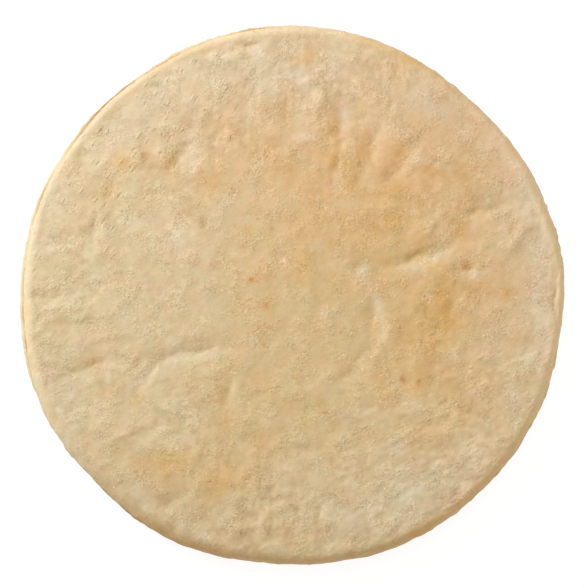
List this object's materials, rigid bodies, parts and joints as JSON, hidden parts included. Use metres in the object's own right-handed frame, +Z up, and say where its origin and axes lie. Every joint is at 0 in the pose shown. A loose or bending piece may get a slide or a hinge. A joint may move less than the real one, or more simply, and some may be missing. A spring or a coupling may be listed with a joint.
{
  "type": "pizza base",
  "caption": "Flat round part-baked pizza base of pale bread with a soft rounded shoulder, a pinched browned seam and a thin foot, ready to be topped and baked.",
  "frame": {"origin": "middle of the flat underside, at the centre of the outline's box", "axes": "+Z up through the thickness, from the underside to the topping side; +X to the right and +Y away as the base is seen from its near edge"},
  "size_m": [0.2556, 0.253, 0.0114],
  "materials": {
    "crust": "dry matt pale crust with fine pores, faint flour and lightly toasted patches"
  },
  "bodies": {
    "root": {"pizza_base": "crust"}
  },
  "joints": []
}
